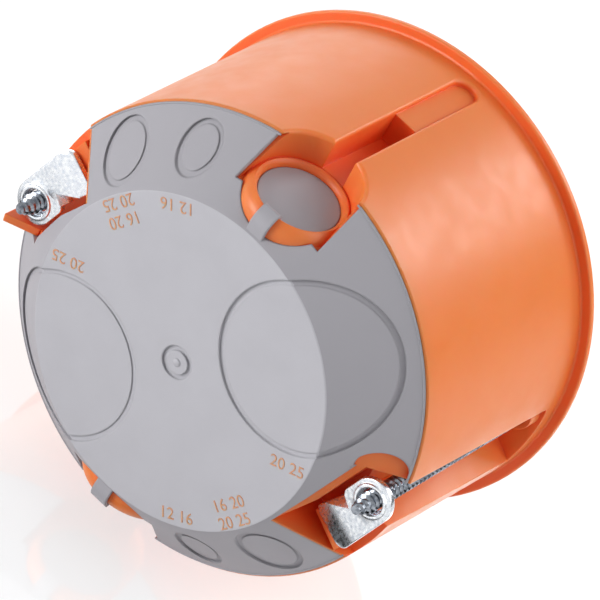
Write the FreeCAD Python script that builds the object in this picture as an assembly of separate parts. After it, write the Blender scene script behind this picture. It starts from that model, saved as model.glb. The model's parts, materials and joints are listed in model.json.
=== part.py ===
import FreeCAD, Part
import math
import os

# Round wall box for a plasterboard wall, in millimetres.
# The box axis lies along Y. The open front looks to -Y, the closed rear to +Y, and +Z is up.
# The origin is on the axis, in the plane where the flange bears on the board.
# The box is nearly the same again after half a turn about its axis: the second claw, screw,
# entry and recess are turned copies of the first, and only the two claw stops differ.

# Body
hole_d = 68.0            # hole sawn in the board, which the body fills
flange_overlap = 1.6     # how far the flange reaches past the hole
flange_t = 1.0           # flange thickness
taper = 0.5              # loss of radius from the front to the rear corner
rear_y = 46.5            # outer face of the flat rear
chamfer_y = 9.5          # length of the chamfer along the axis
flat_r = 23.7            # radius of the flat rear, where the chamfer ends
wall = 1.5               # wall of the orange moulding
skin = 0.8               # grey membrane over the chamfer and the rear
edge_land = 0.3          # orange rim left outside the membrane
edge_round = 0.3         # rounding of the flange and its root
mouth_round = 0.5        # rounding where the recesses and grooves meet the round wall

# Clamping screws and claws, on the left side, at -X
claw_screw_x = 31.1      # distance of the screw's axis from the box axis, across
claw_screw_z = 0.85      # the same, upwards
claw_screw_r = 1.45      # outside radius of the thread
screw_past = 7.4         # end of the screw, behind the corner
claw_head_r = 2.5
claw_head_t = 1.8
run_gap = 0.05           # radial running clearance of a screw in its bearing or collar
head_gap = 0.15          # clearance round a screw head
claw_past = 4.0          # rear face of the folded claw, behind the corner
claw_t = 1.0             # claw sheet
claw_lobe_r = 3.25       # round end of the claw, about the screw
claw_reach = 9.5         # screw's axis to the claw's far edge
claw_w = 7.1             # width of the claw's blade at its end
claw_tilt = 29.0         # lean of the folded blade from straight down, towards the box axis
claw_flare = 11.0        # lean of the blade's outer edge from the blade's own axis
claw_tip = 2.4           # length of the bent tip
claw_tip_drop = 0.6      # how far the tip is bent forwards
claw_corner_r = 1.1      # rounded corners of the blade
notch_depth = 1.9        # V notch between the lobe and the blade
notch_start = 3.3        # its mouth on the lobe's side, from the screw along the blade
notch_apex = 3.9
notch_end = 7.4          # its mouth on the blade's side
collar_r = 2.35          # threaded collar raised from the claw
collar_rise = 0.35
bearing_r = 2.3          # boss round the screw at the front end of the channel
bearing_y = 5.0

# Claw channel and pocket, on the left side
channel_front_y = 2.7
channel_floor = 27.3     # distance of the channel's floor from the box axis
claw_gap = 0.25          # clearance between the claw's lobe and the near wall
channel_taper = 1.0      # how much nearer the near wall comes at the front
channel_far = 4.2        # far wall's foot, below the middle plane
far_lip_front = 8.2      # far wall's outer edge below the middle plane, at the front
far_lip_rear = 4.8       # the same, at the rear
channel_corner = 1.0     # rounded front corners of the channel
pocket_depth = 1.8       # floor of the pocket, in front of the corner
pocket_apex = (22.6, 8.7)        # inner corner of the pocket: in from the side, below the middle
pocket_bend = (25.5, 3.2)        # where the inner edge turns beside the claw
pocket_near = 28.0               # where the inner edge meets the near wall
pocket_rim = 0.9         # wall top that shows between the left pocket and the membrane
pocket_lip = 0.3         # thin lip that covers the membrane's edge along the radial edge
seat_gap = 0.3           # claw tip above its seat
seat_margin = 0.7        # seat's edge inside the claw's edge
seat_show = 1.4          # how far the seat shows past the claw's end
ear_t = 1.2              # ear on the near wall, which stops the opened claw
ear_start = 28.9         # where the ear rises from the chamfer, from the box axis
ear_low = 1.0            # tip of the low ear, on the left, behind the corner
ear_high = 6.3           # tip of the high ear, on the right, behind the corner
land_bulge = 3.5         # bare land behind the low ear: how far it bulges along the rim
land_start = 26.8        # its inner end, from the box axis
land_end = 32.5          # its outer end

# Side entry at the top, with its disc square to a line leaning back by entry_tilt
entry_past = 1.2         # centre of the disc, behind the corner
entry_rise = 2.9         # outer face of the disc above the chamfer at the rim's rear
entry_tilt = 5.4
disc_r = 5.8
disc_t = 0.6
disc_gap = 0.1
bore_r = 5.2             # opening behind the disc
rim_crest = 0.95         # seat rim above the disc
rim_crest_r = 6.6        # radius of its crest
rim_shoulder = (7.45, 0.1)       # radius and height of the rim's outer shoulder
rim_base = (7.8, -1.8)   # radius and height where the rim's outside turns straight
rim_foot = 2.6           # foot of the rim below the disc
recess_r = 7.0           # round front wall of the recess
recess_back = 4.7        # how far the side walls run behind the disc's centre
recess_flare = 0.4       # how much each side wall spreads on the way
notch_gap = 0.05         # between the rim and the membrane's edge round it
strip_w = 2.7            # strip that joins the disc to the rear membrane
strip_t = 0.5
strip_gap = 0.03         # under the strip

# Groove from the flange to the side entry, and the screw dome behind it
groove_w = 3.85
groove_front_y = 1.9
groove_shallow = 1.0     # depth of the front half
groove_rise = 1.4        # floor of the rear half, above the entry's disc
dome_end_y = 17.5
dome_front_y = 0.6
device_pitch = 60.0
device_screw_r = 1.5
device_screw_tip_y = 16.2
device_head_r = 2.9
dome_r = 3.3

# Cable entries in the rear: distance from the axis, direction in degrees, radius
large_entry = (19.3, 139.2, 12.2)
small_entry = (28.4, 215.5, 3.9)
next_entry = (28.7, 239.9, 3.2)
entry_ledge = 1.4        # orange ledge left under the membrane's ring
ring_w = 0.7
ring_depth = 0.35
dish_depth = 0.2
gate_r = 2.4             # round mark in the middle of the rear

# Worked out from the sizes above
body_r = hole_d / 2
flange_r = body_r + flange_overlap
corner_r = body_r - taper
corner_y = rear_y - chamfer_y            # rear end of the round wall
channel_near = claw_screw_z + claw_lobe_r + claw_gap
claw_rear_y = corner_y + claw_past
claw_front_y = claw_rear_y - claw_t
claw_seat_y = claw_front_y - claw_tip_drop - seat_gap
pocket_floor_y = corner_y - pocket_depth
entry_y = corner_y + entry_past
notch_r = rim_base[0] + notch_gap
FAR = 60.0               # longer than anything in the box
NEAR = 0.01              # how close an edge lies to the place it is looked for

AXIS = FreeCAD.Vector(0, 1, 0)
ORIGIN = FreeCAD.Vector(0, 0, 0)


def vec(x, y, z):
    return FreeCAD.Vector(x, y, z)


def turned(shape):
    """A copy after half a turn about the box axis."""
    copy = shape.copy()
    copy.rotate(ORIGIN, AXIS, 180)
    return copy


def revolved(points):
    """A solid of revolution about the box axis from (radius, y) points."""
    corners = [vec(r, y, 0) for r, y in points]
    face = Part.Face(Part.makePolygon(corners + corners[:1]))
    return face.revolve(ORIGIN, AXIS, 360)


def prism(points, y0, y1):
    """A solid along Y from an outline of (x, z) points."""
    corners = [vec(x, y0, z) for x, z in points]
    return extruded(Part.makePolygon(corners + corners[:1]), y1 - y0)


def extruded(wire, length):
    return Part.Face(wire).extrude(vec(0, length, 0))


def grown(points, y0, y1, margin):
    """A prism whose outline is moved outwards by margin."""
    corners = [vec(x, y0, z) for x, z in points]
    wire = Part.makePolygon(corners + corners[:1])
    return extruded(wire.makeOffset2D(margin, 2), y1 - y0)


def rod(x, z, radius, y0, y1):
    """A cylinder along Y."""
    return Part.makeCylinder(radius, y1 - y0, vec(x, y0, z), AXIS)


def box(x0, x1, y0, y1, z0, z1):
    return Part.makeBox(x1 - x0, y1 - y0, z1 - z0, vec(x0, y0, z0))


def polar(distance, angle):
    turn = math.radians(angle)
    return distance * math.cos(turn), distance * math.sin(turn)


def chamfer_point(radius, inset=0.0):
    """The y of the chamfer at a radius, on a surface that lies inset inside the outer one."""
    run, rise = corner_r - flat_r, rear_y - corner_y
    shift = inset * math.hypot(run, rise) / run
    return corner_y - shift + (corner_r - radius) * rise / run


def chamfer_radius(y, inset=0.0):
    """The radius of the same surface at a y."""
    run, rise = corner_r - flat_r, rear_y - corner_y
    shift = inset * math.hypot(run, rise) / run
    return corner_r - (y - corner_y + shift) * run / rise


def rear_points(inset, front_y, outer_r):
    """The profile of the rear, lying inset inside the outer surface, from front_y backwards."""
    flat_y = rear_y - inset
    return [
        (0, front_y),
        (outer_r, front_y),
        (outer_r, chamfer_point(outer_r, inset)),
        (chamfer_radius(flat_y, inset), flat_y),
        (0, flat_y),
    ]


def body_envelope():
    """The outside of the whole box, membrane included."""
    land_r = corner_r - edge_land
    return revolved(
        [
            (0, -flange_t),
            (flange_r, -flange_t),
            (flange_r, 0),
            (body_r, 0),
            (corner_r, corner_y),
            (land_r, chamfer_point(land_r)),
            (flat_r, rear_y),
            (0, rear_y),
        ]
    )


def rear_layer(depth):
    """The outer layer of the chamfer and the rear, as deep as stated."""
    land_r = corner_r - edge_land
    inside = revolved(rear_points(depth, corner_y - wall, land_r))
    outside = revolved(rear_points(0, corner_y - wall, land_r))
    return outside.cut(inside)


def inner_space():
    """The hollow of the box before its housings are put in."""
    depth = skin + wall
    bore_r0 = body_r - wall
    bore_r1 = corner_r - wall
    return revolved(
        [
            (0, -flange_t - 1),
            (bore_r0, -flange_t - 1),
            (bore_r0, 0),
            (bore_r1, chamfer_point(bore_r1, depth)),
            (chamfer_radius(rear_y - depth, depth), rear_y - depth),
            (0, rear_y - depth),
        ]
    )


def channel_outline(y):
    """The channel's section at a y, as (x, z) points; its side walls lean a little."""
    share = (corner_y - y) / (corner_y - channel_front_y)
    near = channel_near - channel_taper * share
    lip = far_lip_rear + (far_lip_front - far_lip_rear) * share
    slope = (lip - channel_far) / (corner_r - channel_floor)
    out = flange_r + wall
    far = channel_far + slope * (out - channel_floor)
    return [(-channel_floor, near), (-out, near), (-out, -far), (-channel_floor, -channel_far)]


def channel_block(margin, y0, y1):
    """The channel as a block from y0 to y1, grown by margin."""
    ends = []
    for y in (y0, y1):
        corners = [vec(x, y, z) for x, z in channel_outline(y)]
        ends.append(Part.makePolygon(corners + corners[:1]))
    if margin:
        ends = [e.makeOffset2D(margin, 2) for e in ends]
    return Part.makeLoft(ends, True, True)


def pocket_outline(rim=0.0):
    """The pocket's outline: inner edge beside the claw, moved in by rim, then the radial edge."""
    apex = (-pocket_apex[0], -pocket_apex[1])
    out = (flange_r + wall) / math.hypot(*apex)
    return [
        (-pocket_near + rim, channel_near),
        (-pocket_bend[0] + rim, -pocket_bend[1]),
        apex,
        (apex[0] * out, apex[1] * out),
        (-flange_r - wall, channel_near),
    ]


def blade_frame():
    """Unit directions in the XZ plane: along the folded blade, and across it towards the rim."""
    lean = math.radians(claw_tilt)
    along = (math.sin(lean), -math.cos(lean))
    across = (-math.cos(lean), -math.sin(lean))
    return along, across


def blade_point(along_mm, across_mm):
    along, across = blade_frame()
    return (
        -claw_screw_x + along_mm * along[0] + across_mm * across[0],
        claw_screw_z + along_mm * along[1] + across_mm * across[1],
    )


def blade_outer(along_mm):
    """How far the blade's outer edge lies from the screw, across the blade."""
    flare = math.tan(math.radians(claw_flare))
    return claw_lobe_r / math.cos(math.radians(claw_flare)) + along_mm * flare


def blade_outline(margin, end_margin):
    """The blade's outline without the notch, moved inwards by margin and out at its end."""
    end = claw_reach + end_margin
    inner = blade_outer(claw_reach) - claw_w + margin
    start = claw_reach - claw_w
    return [
        blade_point(start, inner),
        blade_point(end, inner),
        blade_point(end, blade_outer(end) - margin),
        blade_point(start, blade_outer(start) - margin),
    ]


def entry_height():
    """The height of the upper disc's centre above the box axis."""
    return chamfer_radius(entry_y + rim_base[0]) + entry_rise


def entry_place():
    centre = vec(0, entry_y, entry_height())
    return FreeCAD.Placement(centre, FreeCAD.Rotation(vec(1, 0, 0), -entry_tilt))


def at_entry(shape):
    """Moves a shape made about the origin, with Z out of the box, to the upper side entry."""
    shape.Placement = entry_place()
    return shape


def recess_sides(margin, y0, bottom):
    """The room between the recess's side walls, from y0 backwards, grown by margin."""
    ends = []
    for y in (y0, recess_back):
        half_w = recess_r + margin + recess_flare * max(y, 0) / recess_back
        ends.append((half_w, y))
    outline = ends + [(-half_w, y) for half_w, y in reversed(ends)]
    corners = [vec(x, y, bottom) for x, y in outline]
    return Part.Face(Part.makePolygon(corners + corners[:1])).extrude(vec(0, 0, FAR))


def entry_recess(margin, depth):
    """The recess round the side entry, grown by margin, from depth below the disc outwards."""
    round_part = Part.makeCylinder(recess_r + margin, FAR, vec(0, 0, -depth))
    return at_entry(round_part.fuse(recess_sides(margin, 0, -depth)))


def rim_arcs(off):
    """The rim's rounded top in section, moved outwards by off: inner and outer arcs."""
    seat_r = disc_r + disc_gap
    mid_r, diagonal = (seat_r + rim_crest_r) / 2, off * math.sqrt(0.5)
    inner = vec(seat_r - off, 0, 0)
    rise = vec(mid_r - diagonal, 0, rim_crest * 0.75 + diagonal)
    crest = vec(rim_crest_r, 0, rim_crest + off)
    shoulder = vec(rim_shoulder[0] + diagonal, 0, rim_shoulder[1] + diagonal)
    base = vec(rim_base[0] + off, 0, rim_base[1])
    return [Part.Arc(inner, rise, crest).toShape(), Part.Arc(crest, shoulder, base).toShape()]


def chain(points):
    """Straight edges from point to point."""
    return [Part.makeLine(a, b) for a, b in zip(points, points[1:])]


def seat_rim():
    """The rounded rim that the entry disc sits in."""
    seat_r = disc_r + disc_gap
    foot = [vec(rim_base[0], 0, rim_base[1]), vec(rim_base[0], 0, -rim_foot)]
    ledge = [vec(bore_r, 0, -rim_foot), vec(bore_r, 0, -disc_t), vec(seat_r, 0, -disc_t)]
    edges = rim_arcs(0) + chain(foot + ledge + [vec(seat_r, 0, 0)])
    profile = Part.Face(Part.Wire(Part.__sortEdges__(edges)))
    return at_entry(profile.revolve(ORIGIN, vec(0, 0, 1), 360))


def entry_bore():
    depth = rim_foot + 2 * wall
    return at_entry(Part.makeCylinder(bore_r, depth + wall, vec(0, 0, -depth)))


def groove_cut():
    """Groove in the round wall: shallow with a round end in front, deep behind the dome."""
    half = groove_w / 2
    floor_z = body_r - groove_shallow
    end = Part.makeCylinder(half, FAR, vec(0, groove_front_y + half, floor_z))
    front = box(-half, half, groove_front_y + half, dome_end_y, floor_z, FAR)
    rear = box(-half, half, dome_end_y, entry_y, entry_height() + groove_rise, FAR)
    return end.fuse([front, rear])


def groove_housing():
    half = groove_w / 2 + wall
    return box(-half, half, dome_end_y - wall, entry_y, entry_height() + groove_rise - wall, FAR)


def screw_dome():
    """The pillar that the upper device screw goes into."""
    z = device_pitch / 2
    post = rod(0, z, dome_r, dome_front_y, dome_end_y)
    web = box(-dome_r, dome_r, dome_front_y, dome_end_y, z, body_r)
    return post.fuse(web)


def dome_hole():
    z = device_pitch / 2
    hole = rod(0, z, device_screw_r + run_gap, -FAR, device_screw_tip_y + wall / 2)
    return hole.fuse(rod(0, z, device_head_r + head_gap, -FAR, dome_front_y))


def claw_housing():
    """Channel and pocket of the left claw with their walls, before they are hollowed."""
    channel = channel_block(wall, channel_front_y - wall, corner_y)
    return channel.fuse(grown(pocket_outline(), pocket_floor_y - wall, rear_y, wall))


def channel_cut():
    cut = channel_block(0, channel_front_y, corner_y)
    front = [e for e in cut.Edges if all(abs(v.Y - channel_front_y) < NEAR for v in e.Vertexes)]
    across = [e for e in front if abs(e.Vertexes[0].Z - e.Vertexes[1].Z) < NEAR]
    return cut.makeFillet(channel_corner, across)


def claw_seat():
    """The step under the folded blade, with its edge showing past the blade's end."""
    return prism(blade_outline(seat_margin, seat_show), pocket_floor_y, claw_seat_y)


def claw_ear(tip_y):
    """An ear on the near wall, rising outwards from the chamfer to tip_y at the round wall."""
    start_y = chamfer_point(ear_start, skin)
    corners = [(ear_start, start_y), (body_r, tip_y), (body_r, start_y - wall)]
    corners += [(ear_start, start_y - wall)]
    points = [vec(-x, y, channel_near) for x, y in corners]
    ear = Part.Face(Part.makePolygon(points + points[:1])).extrude(vec(0, 0, ear_t))
    return ear.common(rod(0, 0, body_r - edge_land, 0, FAR))


def bare_land():
    """The D-shaped land behind the low ear that the membrane leaves bare."""
    start, end = vec(-land_start, 0, channel_near), vec(-land_end, 0, channel_near)
    crown = vec(-(land_start + land_end) / 2, 0, channel_near + land_bulge)
    arc = Part.Arc(start, crown, end).toShape()
    return extruded(Part.Wire([arc, Part.makeLine(end, start)]), FAR)


def knock_out(entry, margin):
    """A cylinder through the rear at a cable entry, smaller than its ring by margin."""
    distance, angle, radius = entry
    x, z = polar(distance, angle)
    return rod(x, z, radius - margin, corner_y - 3 * wall, FAR)


def cable_entries(margin):
    return [knock_out(e, margin) for e in (large_entry, small_entry, next_entry)]


def screw_holes():
    """Bearing and head recess of the left claw screw."""
    x, z = -claw_screw_x, claw_screw_z
    bearing = rod(x, z, claw_screw_r + run_gap, -FAR, bearing_y + wall)
    return bearing.fuse(rod(x, z, claw_head_r + head_gap, -FAR, claw_head_t - flange_t))


def both(shapes):
    return list(shapes) + [turned(s) for s in shapes]


def mouth_edges(shape):
    """The edges where the recesses and grooves open in the round wall."""
    curves = [e for e in shape.Edges if isinstance(e.Curve, Part.BSplineCurve)]
    outer = [e for e in curves if abs(e.BoundBox.Center.z) > corner_r - wall / 2]
    return [e for e in outer if groove_front_y - wall / 2 < e.BoundBox.YMax < corner_y + NEAR]


def body_outside():
    """The outside of the box with its flange rounded, the entry recesses and the grooves."""
    body = body_envelope()
    body = body.makeFillet(edge_round, [e for e in body.Edges if flange_root(e)])
    cuts = both([entry_recess(0, disc_t), groove_cut()])
    body = body.cut(cuts[0].fuse(cuts[1:]).removeSplitter())
    return body.makeFillet(mouth_round, mouth_edges(body))


def box_body():
    """The orange moulding."""
    body = body_outside().cut(rear_layer(skin))
    housings = both([claw_housing(), entry_recess(wall, disc_t + wall), groove_housing()])
    housings += both([screw_dome()])
    body = body.cut(inner_space().cut(housings[0].fuse(housings[1:])))
    claw_rooms = both([channel_cut(), prism(pocket_outline(), pocket_floor_y, FAR)])
    body = body.cut(claw_rooms[0].fuse(claw_rooms[1:]))
    bearing = rod(-claw_screw_x, claw_screw_z, bearing_r, channel_front_y - wall / 2, bearing_y)
    lip = radial_lip().common(body_envelope())
    added = both([claw_seat(), seat_rim(), bearing, lip])
    added += [claw_ear(corner_y + ear_low), turned(claw_ear(corner_y + ear_high))]
    body = body.fuse(added)
    holes = both([entry_bore(), screw_holes(), dome_hole()] + cable_entries(entry_ledge))
    return body.cut(holes[0].fuse(holes[1:])).removeSplitter()


def flange_root(edge):
    """Picks the flange's outer edges and the corner where the round wall leaves it."""
    if not isinstance(edge.Curve, Part.Circle):
        return False
    radius, y = edge.Curve.Radius, edge.Curve.Center.y
    return y < NEAR and min(abs(radius - flange_r), abs(radius - body_r)) < NEAR


def disc_strip():
    """The disc of the upper side entry and the strip that carries it over the rim."""
    disc = Part.makeCylinder(disc_r, disc_t, vec(0, 0, -disc_t))
    under, over = strip_gap, strip_gap + strip_t
    seat_r = disc_r + disc_gap
    foot_z = -rim_foot - skin
    outer = [vec(rim_base[0] + under, 0, rim_base[1]), vec(rim_base[0] + under, 0, foot_z)]
    outer += [vec(rim_base[0] + over, 0, foot_z), vec(rim_base[0] + over, 0, rim_base[1])]
    inner = [vec(seat_r - over, 0, 0), vec(seat_r - over, 0, -disc_t / 2)]
    inner += [vec(disc_r, 0, -disc_t / 2), vec(disc_r, 0, 0), vec(seat_r - under, 0, 0)]
    edges = rim_arcs(under) + rim_arcs(over) + chain(outer) + chain(inner)
    section = Part.Face(Part.Wire(Part.__sortEdges__(edges)))
    strip = section.extrude(vec(0, strip_w, 0))
    strip.translate(vec(0, -strip_w / 2, 0))
    strip.rotate(ORIGIN, vec(0, 0, 1), 90)
    return at_entry(disc.fuse(strip))


def membrane_gaps():
    """Where the membrane is open: round the claws and round the side entries."""
    sides = recess_sides(disc_gap, -FAR, -rim_foot)
    round_rim = Part.makeCylinder(notch_r, FAR, vec(0, 0, -2 * rim_foot))
    round_rim = round_rim.common(box(-FAR, FAR, recess_back - disc_gap, FAR, -FAR, FAR))
    pockets = [prism(pocket_outline(pocket_rim), 0, FAR), turned(prism(pocket_outline(), 0, FAR))]
    gaps = both([at_entry(sides.fuse(round_rim)), radial_lip()])
    gaps += pockets + [bare_land(), turned(ear_room())]
    return gaps[0].fuse(gaps[1:])


def radial_lip():
    """The thin lip of the box along the pocket's radial edge, from the chamfer outwards."""
    apex = pocket_outline()[2]
    distance = math.hypot(*apex)
    along = (apex[0] / distance, apex[1] / distance)
    aside = (-along[1] * pocket_lip, along[0] * pocket_lip)
    far = (apex[0] + along[0] * FAR, apex[1] + along[1] * FAR)
    points = [apex, far, (far[0] + aside[0], far[1] + aside[1])]
    points.append((apex[0] + aside[0], apex[1] + aside[1]))
    return prism(points, corner_y - wall, FAR)


def ear_room():
    """Room in the membrane for the high ear."""
    return box(-FAR, -pocket_near, 0, FAR, 0, channel_near + ear_t + disc_gap)


def entry_membrane():
    """The grey moulding over the chamfer and the rear, with its rings, discs and strips."""
    membrane = rear_layer(skin).cut(membrane_gaps())
    shallow, deep = rear_layer(dish_depth), rear_layer(ring_depth)
    for entry in both(cable_entries(0)):
        membrane = membrane.cut(entry.common(shallow))
    rings = both([k.cut(s) for k, s in zip(cable_entries(0), cable_entries(ring_w))])
    rings.append(rod(0, 0, gate_r, 0, FAR).cut(rod(0, 0, gate_r - ring_w, 0, FAR)))
    for ring in rings:
        membrane = membrane.cut(ring.common(deep))
    return membrane.fuse(both([disc_strip()])).removeSplitter()


def claw():
    """The left claw, folded: lobe with a raised collar, V notch and blade with a bent tip."""
    x, z = -claw_screw_x, claw_screw_z
    y0 = claw_front_y
    tip_start = claw_reach - claw_tip
    inner = blade_outer(claw_reach) - claw_w
    outline = [
        blade_point(0, -claw_lobe_r),
        blade_point(notch_start, inner),
        blade_point(notch_apex, inner + notch_depth),
        blade_point(min(notch_end, tip_start), inner),
        blade_point(tip_start, inner),
        blade_point(tip_start, blade_outer(tip_start)),
        blade_point(0, blade_outer(0)),
    ]
    lobe = rod(x, z, claw_lobe_r, y0, claw_rear_y)
    collar = rod(x, z, collar_r, y0, claw_rear_y + collar_rise)
    bore = rod(x, z, claw_screw_r + run_gap, 0, FAR)
    plate = prism(outline, y0, claw_rear_y).fuse([lobe, claw_tip_solid(), collar])
    return plate.cut(bore).removeSplitter()


def claw_tip_solid():
    """The blade's end, bent forwards, with rounded corners."""
    start, end = claw_reach - claw_tip, claw_reach
    inner = blade_outer(claw_reach) - claw_w
    wide = blade_outer(end)
    corners = [
        blade_point(start, inner),
        blade_point(end, inner),
        blade_point(end, wide),
        blade_point(start, blade_outer(start)),
    ]
    y0 = claw_front_y - claw_tip_drop
    outline = prism(corners, y0, claw_rear_y)
    upright = [e for e in outline.Edges if at_end(e, corners[1]) or at_end(e, corners[2])]
    outline = outline.makeFillet(claw_corner_r, upright)
    return outline.common(bent_band(start, end))


def at_end(edge, corner):
    """Is the edge an upright one at the corner?"""
    ends = edge.Vertexes
    near = all(math.hypot(v.X - corner[0], v.Z - corner[1]) < NEAR for v in ends)
    return near and abs(ends[0].Y - ends[1].Y) > NEAR


def bent_band(start, end):
    """A band of the claw's sheet that slopes forwards between start and end of the blade."""
    far_edge = 2 * claw_w
    corners = []
    for along, y in [
        (start, claw_front_y),
        (end, claw_front_y - claw_tip_drop),
        (end, claw_rear_y - claw_tip_drop),
        (start, claw_rear_y),
    ]:
        x, z = blade_point(along, -far_edge)
        corners.append(vec(x, y, z))
    across = blade_frame()[1]
    sweep = vec(across[0] * 2 * far_edge, 0, across[1] * 2 * far_edge)
    return Part.Face(Part.makePolygon(corners + corners[:1])).extrude(sweep)


def cross_recess(x, z, front_y, width, depth):
    """A cross-shaped driver recess in a screw head."""
    half, back_y = width / 2, front_y + depth
    thin = half / 4
    bar = box(x - half, x + half, front_y, back_y, z - thin, z + thin)
    return bar.fuse(box(x - thin, x + thin, front_y, back_y, z - half, z + half))


def screw(x, z, radius, tip_y, head_r, head_y):
    """A screw with a round head whose front lies flush with the flange."""
    point = radius
    shank = rod(x, z, radius, head_y - run_gap, tip_y - point)
    end = Part.makeCone(radius, radius / 2, point, vec(x, tip_y - point, z), AXIS)
    head = rod(x, z, head_r, -flange_t, head_y)
    rim = [e for e in head.Edges if e.BoundBox.YMax < -flange_t + NEAR]
    head = head.makeFillet(edge_round, rim)
    solid = shank.fuse([end, head])
    return solid.cut(cross_recess(x, z, -flange_t, head_r, head_r / 2)).removeSplitter()


def claw_screw():
    head_y = claw_head_t - flange_t
    tip_y = corner_y + screw_past
    return screw(-claw_screw_x, claw_screw_z, claw_screw_r, tip_y, claw_head_r, head_y)


def device_screw():
    z = device_pitch / 2
    return screw(0, z, device_screw_r, device_screw_tip_y, device_head_r, dome_front_y)


def main():
    os.makedirs("parts", exist_ok=True)
    parts = {
        "box_body": box_body(),
        "entry_membrane": entry_membrane(),
        "claw_left": claw(),
        "claw_right": turned(claw()),
        "claw_screw_left": claw_screw(),
        "claw_screw_right": turned(claw_screw()),
        "device_screw_upper": device_screw(),
        "device_screw_lower": turned(device_screw()),
    }
    for name, shape in parts.items():
        print(name, shape.isValid(), len(shape.Solids), round(shape.Volume, 1))
        shape.exportStep("parts/" + name + ".step")


main()
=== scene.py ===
"""Dresses a round box for plasterboard walls: finishes, claws, threads, marks, light and camera.

The box lies along Y with its open front at -Y, its closed rear at +Y and +Z up. Shapes are built
in millimetres, and add_piece turns them to metres. But for the claws' stop lugs, the box is the
same after half a turn about Y, so a claw, an edge or a mark on the right is the left one, turned.
"""

import json
import logging
import math
from collections.abc import Sequence
from dataclasses import dataclass
from enum import Enum

import bmesh
import bpy
from mathutils import Matrix, Vector

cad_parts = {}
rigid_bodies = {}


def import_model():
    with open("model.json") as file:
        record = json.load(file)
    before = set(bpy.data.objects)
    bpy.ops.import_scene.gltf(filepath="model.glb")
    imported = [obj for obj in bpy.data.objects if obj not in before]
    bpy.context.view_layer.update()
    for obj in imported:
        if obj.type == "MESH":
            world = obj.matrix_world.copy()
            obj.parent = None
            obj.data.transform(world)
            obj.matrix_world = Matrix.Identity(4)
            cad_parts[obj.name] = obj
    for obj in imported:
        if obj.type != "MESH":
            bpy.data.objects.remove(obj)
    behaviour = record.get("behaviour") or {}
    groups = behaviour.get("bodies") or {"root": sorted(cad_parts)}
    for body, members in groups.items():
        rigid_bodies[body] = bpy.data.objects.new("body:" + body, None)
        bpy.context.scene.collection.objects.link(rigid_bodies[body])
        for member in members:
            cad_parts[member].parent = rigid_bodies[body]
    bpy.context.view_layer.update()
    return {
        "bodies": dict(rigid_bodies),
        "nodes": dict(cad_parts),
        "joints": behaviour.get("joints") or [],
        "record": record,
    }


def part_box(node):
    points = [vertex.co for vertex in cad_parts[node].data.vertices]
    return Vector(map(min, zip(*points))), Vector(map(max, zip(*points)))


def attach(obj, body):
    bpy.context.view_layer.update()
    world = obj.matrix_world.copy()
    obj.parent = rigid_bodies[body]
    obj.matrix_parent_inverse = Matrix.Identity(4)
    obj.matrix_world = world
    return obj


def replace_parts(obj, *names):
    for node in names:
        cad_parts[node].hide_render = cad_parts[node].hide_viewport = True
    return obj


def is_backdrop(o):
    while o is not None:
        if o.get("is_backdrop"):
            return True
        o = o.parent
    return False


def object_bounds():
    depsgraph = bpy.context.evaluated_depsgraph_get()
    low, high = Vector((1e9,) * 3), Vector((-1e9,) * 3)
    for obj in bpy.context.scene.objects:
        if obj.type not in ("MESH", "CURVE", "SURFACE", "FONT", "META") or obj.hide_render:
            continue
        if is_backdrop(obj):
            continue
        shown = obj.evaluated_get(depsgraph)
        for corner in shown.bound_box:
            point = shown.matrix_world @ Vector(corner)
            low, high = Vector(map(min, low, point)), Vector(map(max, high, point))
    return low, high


MM = 0.001
WELD = 0.002             # mm, vertices nearer than this are one
SNAP = WELD / 10         # mm, vertices nearer than this to a cut lie on it
SHARP_DEG = 35.0         # edges that turn more than this stay crisp
NOISE_SPREAD = (0.3, 0.7)                # a noise pattern lies almost wholly between these
MIX_A, MIX_B, MIX_RESULT = 6, 7, 2       # the colour sockets of a Mix node

log = logging.getLogger("drywall_back_box")


class Side(Enum):
    """The two sides of the box, with the turn about its axis that brings the left one there."""

    LEFT = 0.0
    RIGHT = math.pi

    def turn(self) -> Matrix:
        """The turn about the box axis from the left side to this one."""
        return Matrix.Rotation(self.value, 4, "Y")

    def label(self) -> str:
        """The side's name in node and body names."""
        return self.name.lower()


class Place(Enum):
    """Where the two device screws stand."""

    UPPER = "upper"
    LOWER = "lower"


class Ray(Enum):
    """The kinds of ray that the studio tells apart, by their outputs of a Light Path node."""

    SEEN = "Is Camera Ray"
    MIRRORED = "Is Glossy Ray"
    THROUGH = "Is Transmission Ray"


def linear(code: str) -> tuple[float, float, float, float]:
    """Turns an sRGB hex colour to the linear values that a shader takes.

    Args:
        code: six hex digits after a hash sign.

    Returns:
        Red, green, blue and an alpha of 1.
    """
    channels = [int(code[i:i + 2], 16) / 255 for i in (1, 3, 5)]
    straight = [c / 12.92 if c <= 0.04045 else ((c + 0.055) / 1.055) ** 2.4 for c in channels]
    return (*straight, 1.0)


def per_size(size_mm: float) -> float:
    """The scale of a pattern on object coordinates whose features are size_mm wide."""
    return 1 / (size_mm * MM)


def add_node(
    tree: bpy.types.NodeTree,
    kind: str,
    settings: dict[str | int, object] | None = None,
    links: dict[str | int, bpy.types.NodeSocket] | None = None,
) -> bpy.types.Node:
    """Adds a node with its settings and links.

    Args:
        tree: the tree that gets the node.
        kind: the type of the node.
        settings: a value for each input or property, by the input's name or number.
        links: the output that goes into each input, by the input's name or number.

    Returns:
        The new node.
    """
    node = tree.nodes.new(kind)
    for key, value in (settings or {}).items():
        if isinstance(key, int) or key in node.inputs:
            node.inputs[key].default_value = value
        else:
            setattr(node, key, value)
    for key, output in (links or {}).items():
        tree.links.new(output, node.inputs[key])
    return node


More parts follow.
